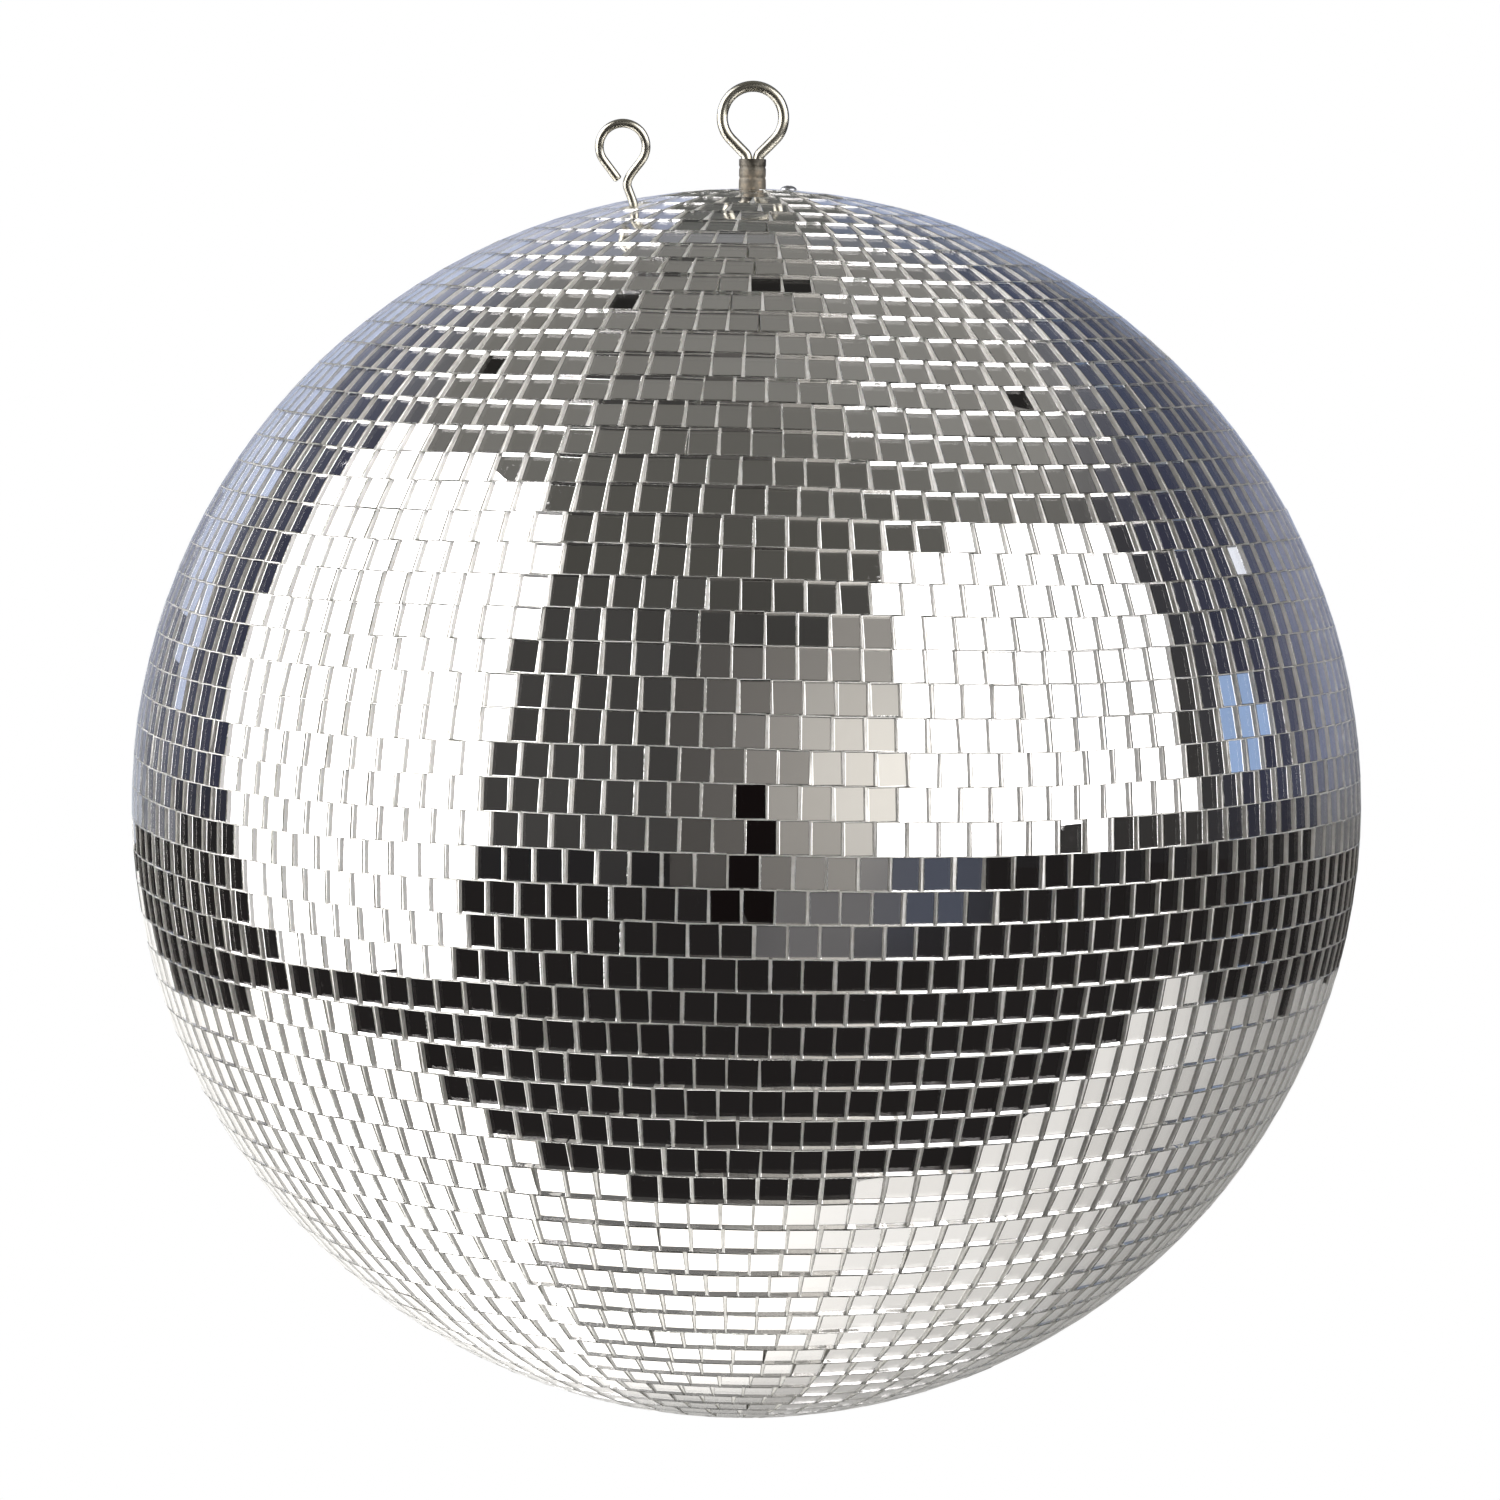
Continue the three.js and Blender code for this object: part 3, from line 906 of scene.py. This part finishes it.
def smooth(low, high, value):
    """Soft step from 0 at low to 1 at high; low may be the larger."""
    share = min(1, max(0, (value - low) / (high - low)))
    return share * share * (3 - 2 * share)


def blend(first, second, share):
    return [a + (b - a) * share for a, b in zip(first, second)]


def card(name, outline, radius, material):
    """Card around the ball, with its corners' directions as (azimuth, elevation) in degrees."""
    points = []
    steps = 4
    for corner, following in zip(outline, outline[1:] + outline[:1]):
        points += [blend(corner, following, step / steps) for step in range(steps)]
    count = len(points)
    middle = [sum(values) / count for values in zip(*points)]
    vertices = [CENTRE + direction(radians(a), radians(e)) * radius for a, e in [middle, *points]]
    faces = [[0, 1 + i, 1 + (i + 1) % count] for i in range(count)]
    reflected_only(make_object(name, vertices, faces, [material]))


def wall_tone(azimuth, elevation):
    """Display level of the studio around the ball, by direction in degrees."""
    away = direction(radians(azimuth), radians(elevation))
    side = abs(azimuth)
    left = azimuth < 0
    ceiling = 82 + 46 * smooth(-0.55, 0.1, away.y) + 14 * away.x
    ceiling = [ceiling, ceiling - 1, ceiling - 5]
    low_front = 66 if left else 58
    walls = [low_front, low_front - 1, low_front - 2]
    walls = blend(walls, [56, 58, 74], smooth(88, 112, side))
    if left:
        behind = blend([96, 100, 116], [152, 158, 178], smooth(148, 158, side))
        backdrop = smooth(162, 168, side) * smooth(32, 18, elevation) * smooth(-4, 6, elevation)
        glow = [196, 203, 226]
        skirting = blend([120, 122, 130], [198, 204, 216], smooth(148, 156, side))
    else:
        behind = blend([132, 138, 162], [72, 78, 98], smooth(12, 20, elevation))
        behind = blend(behind, [112, 120, 138], smooth(160, 166, side) * smooth(3, 7, elevation))
        backdrop = smooth(163, 172, side) * smooth(28, 16, elevation)
        glow = [172, 184, 214]
        skirting = [108, 108, 110]
    walls = blend(walls, behind, smooth(112, 145, side))
    tone = blend(walls, ceiling, smooth(34, 50, elevation))
    tone = blend(tone, glow, backdrop)
    if side > 130:
        return blend(tone, skirting, smooth(-1, -6, elevation))
    return blend(tone, [38, 37, 38], smooth(-1, -6, elevation))


def lit_wall_tone(azimuth, elevation):
    """Display level of the lit wall: brighter to the right, fading out towards the floor."""
    glow = smooth(-14, 27, azimuth) * (1 - 0.55 * smooth(14, 34, elevation))
    glow *= 1 - 0.5 * smooth(6, -8, elevation)
    tone = blend([76, 74, 72], [242, 238, 230], glow)
    low = blend([108, 107, 108], [76, 80, 92], smooth(20, 32, azimuth))
    low = blend([36, 34, 34], low, smooth(0, 6, azimuth) * smooth(46, 40, azimuth))
    top = -8 + 6 * smooth(18, 28, azimuth)
    tone = blend(tone, low, smooth(top, top - 3, elevation))
    foot = -20 + 5 * smooth(10, 35, azimuth)
    return blend(tone, [34, 32, 32], smooth(foot, foot - 4, elevation))


def painted_wall(name, azimuths, elevations, radius, tone_at, closed=False):
    """Curved wall around the ball that glows with the level that tone_at gives each direction."""
    vertices, faces, paint = [], [], []
    for elevation in elevations:
        for azimuth in azimuths:
            vertices.append(CENTRE + direction(radians(azimuth), radians(elevation)) * radius)
            paint.extend([srgb(level) for level in tone_at(azimuth, elevation)] + [1])
    columns = len(azimuths)
    for i in range(len(elevations) - 1):
        for k in range(columns if closed else columns - 1):
            a = i * columns + k
            b = i * columns + (k + 1) % columns
            faces.append([a, b, b + columns, a + columns])
    obj = make_object(name, vertices, faces, [emission(name)])
    layer = obj.data.color_attributes.new("paint", "FLOAT_COLOR", "POINT")
    layer.data.foreach_set("color", paint)
    reflected_only(obj)


def make_walls():
    """Soft light and shade all round the ball, and the lit piece of wall beside the camera."""
    step = 3
    around = range(-180, 180, step)
    painted_wall("studio_shell", around, range(-60, 91, step), SHELL_RADIUS, wall_tone, closed=True)
    beside = range(-12, 48, step)
    behind_cards = STUDIO_RADIUS + STUDIO_LAYER
    painted_wall("lit_wall", beside, range(-24, 39, step), behind_cards, lit_wall_tone)


# Outlines of the softboxes: azimuth and elevation from the ball's centre, in degrees.
LEFT_SOFTBOX = [
    (-54, -22.9),
    (-100, -19),
    (-106, -6),
    (-113, 11),
    (-118, 26),
    (-123, 34),
    (-112, 45),
    (-93, 52),
    (-67, 54.5),
    (-48, 55),
    (-46, 33),
    (-47, 3),
]
RIGHT_SOFTBOX = [
    (27.5, -4),
    (62, -1.5),
    (91, -1),
    (87.5, 9),
    (89, 24),
    (93.5, 36),
    (88, 41.5),
    (56, 50),
    (28, 46),
]


def make_cards():
    """Softboxes, camera, windows and the other things that show in the tiles."""
    left_face = emission("left_face", SOFTBOX_TONE, LEFT_GLOW)
    right_face = emission("right_face", SOFTBOX_TONE, RIGHT_GLOW)
    card("softbox_left", LEFT_SOFTBOX, STUDIO_RADIUS, left_face)
    card("softbox_right", RIGHT_SOFTBOX, STUDIO_RADIUS, right_face)
    black = emission("black_card", colour(20, 16, 16))
    tripod = [(-1, 10), (5, 10), (5, -9), (10, -21), (7, -21), (3, -12)]
    tripod += [(1, -12), (-5, -21), (-8, -21), (-3, -9)]
    card("camera_and_tripod", tripod, STUDIO_RADIUS - STUDIO_LAYER, black)
    dark = emission("ceiling_fitting", colour(38, 37, 36))
    fittings = ((175, 63.8, 7), (-151, 63, 4.5), (-126, 53, 3), (117, 53, 3))
    half_height = 2.4
    for number, (azimuth, elevation, half_width) in enumerate(fittings):
        left, right = azimuth - half_width, azimuth + half_width
        low, high = elevation - half_height, elevation + half_height
        outline = [(left, low), (right, low), (right, high), (left, high)]
        card(f"ceiling_fitting_{number}", outline, STUDIO_RADIUS, dark)
    sky = emission("window_light", colour(198, 209, 236))
    window = [(-128, 3.5), (-135, 3), (-142, 5.5), (-168, 6), (-168, 24), (-138, 23), (-134, 14)]
    card("window_left", window, STUDIO_RADIUS, sky)
    blue = emission("blue_light", colour(150, 175, 215))
    card("window_right", [(97, 4), (111, 4), (115, 13), (99, 13)], STUDIO_RADIUS, blue)
    white = emission("white_spot", colour(238, 242, 252))
    spot = [(122, 18.9), (127.5, 18.9), (127.5, 21.5), (122, 21.5)]
    card("spot_right", spot, STUDIO_RADIUS, white)
    grey = emission("grey_column", colour(104, 105, 102))
    column = [(177.6, 8), (182.4, 8), (182.6, 20), (185, 26), (187, 43)]
    column += [(173, 43), (175, 26), (177.4, 20)]
    card("column_behind", column, STUDIO_RADIUS, grey)


FLOOR_SHEET = [  # in units of the drop to the floor
    (-2.3, 0.3),
    (-1.77, -0.2),
    (-1.35, -0.38),
    (0, -0.4),
    (0.9, -0.28),
    (1.4, -0.28),
    (2, -0.06),
    (2.4, 0.12),
    (2.2, 2.7),
    (1.7, 4.6),
    (1.3, 6.6),
    (-1, 6.6),
    (-2.6, 7.2),
    (-2.1, 4.5),
    (-2, 2.6),
    (-2.1, 1.2),
]


def floor_sheet_material():
    """White sheet on the floor: bright on the left, shaded to the right and behind."""
    n = Nodes("floor_sheet")
    place = n.add("ShaderNodeSeparateXYZ")
    n.link(n.position(), place.inputs[0])

    def fade(value, low, high, to_low, to_high):
        """Soft change of level between two places, in units of the drop to the floor."""
        return n.remap(value, low * FLOOR_DROP, high * FLOOR_DROP, to_low, to_high, "SMOOTHSTEP")

    x, y = place.outputs["X"], place.outputs["Y"]
    behind = fade(y, -0.5, 1.4, 0.95, 0.49)
    aside = fade(x, 0.3, 1.2, 1, 0.87)
    shaded = n.math("MULTIPLY", behind, aside)
    bright = fade(y, 0.3, 2.3, 2.0, 1.25)
    spread = fade(y, 0.2, 1.3, 0.25 * FLOOR_DROP, 0)
    across = n.math("SUBTRACT", x, spread)
    lit = fade(across, -0.42, 0.05, 1, 0)
    gain = n.math("MULTIPLY", lit, n.math("SUBTRACT", bright, shaded))
    n.glow(SHEET_TONE, n.math("ADD", shaded, gain))
    return n.material


def wide_floor(name, z, material):
    reach = FLOOR_HALF
    vertices = [(-reach, -reach, z), (reach, -reach, z), (reach, reach, z), (-reach, reach, z)]
    return make_object(name, vertices, [[0, 1, 2, 3]], [material])


def make_floor():
    """Pale floor for the camera; a dark floor with a white sheet on it for the reflections."""
    floor_z = CENTRE.z - FLOOR_DROP
    pale = wide_floor("floor", floor_z, emission("pale_floor", (1, 1, 1, 1)))
    pale.visible_diffuse = False
    pale.visible_glossy = False
    pale.visible_transmission = False
    pale.visible_shadow = False
    dark = emission("dark_floor", colour(34, 32, 32))
    reflected_only(wide_floor("floor_beyond", floor_z + FLOOR_LAYER, dark))
    sheet_z = floor_z + 2 * FLOOR_LAYER
    corners = [Vector((x * FLOOR_DROP, y * FLOOR_DROP, sheet_z)) for x, y in FLOOR_SHEET]
    face = list(range(len(corners)))
    reflected_only(make_object("floor_sheet", corners, [face], [floor_sheet_material()]))


def make_world():
    """White behind the ball for the camera, and a weak even light for everything else."""
    world = bpy.data.worlds.new("studio")
    world.use_nodes = True
    bpy.context.scene.world = world
    tree = world.node_tree
    path = tree.nodes.new("ShaderNodeLightPath")
    back = tree.nodes["Background"]
    back.inputs["Color"].default_value = (0.05, 0.05, 0.052, 1)
    clear = tree.nodes.new("ShaderNodeBackground")
    clear.inputs["Color"].default_value = (1, 1, 1, 1)
    mix = tree.nodes.new("ShaderNodeMixShader")
    tree.links.new(path.outputs["Is Camera Ray"], mix.inputs[0])
    tree.links.new(back.outputs[0], mix.inputs[1])
    tree.links.new(clear.outputs[0], mix.inputs[2])
    tree.links.new(mix.outputs[0], tree.nodes["World Output"].inputs["Surface"])
    bpy.context.scene.view_settings.view_transform = "Standard"
    bpy.context.scene.view_settings.look = "None"


# ---------------------------------------------------------------- assembly

make_camera()
make_world()
make_walls()
make_cards()
make_floor()

zinc = metal("zinc_steel", colour(150, 152, 156), colour(196, 198, 200), 0.3, 0.5, 300)
brass = metal("turned_brass", colour(150, 116, 58), colour(196, 160, 92), 0.25, 0.42, 260)
silver = metal("polished_tile", colour(214, 214, 212), colour(240, 240, 238), 0.02, 0.06, 200)
dress_cad({"zinc": zinc, "brass": brass, "plastic": core_plastic(), "silver": silver})
make_tiles()
make_eyes(plated_wire())
make_ferrule(ferrule_steel())
make_screw(zinc)
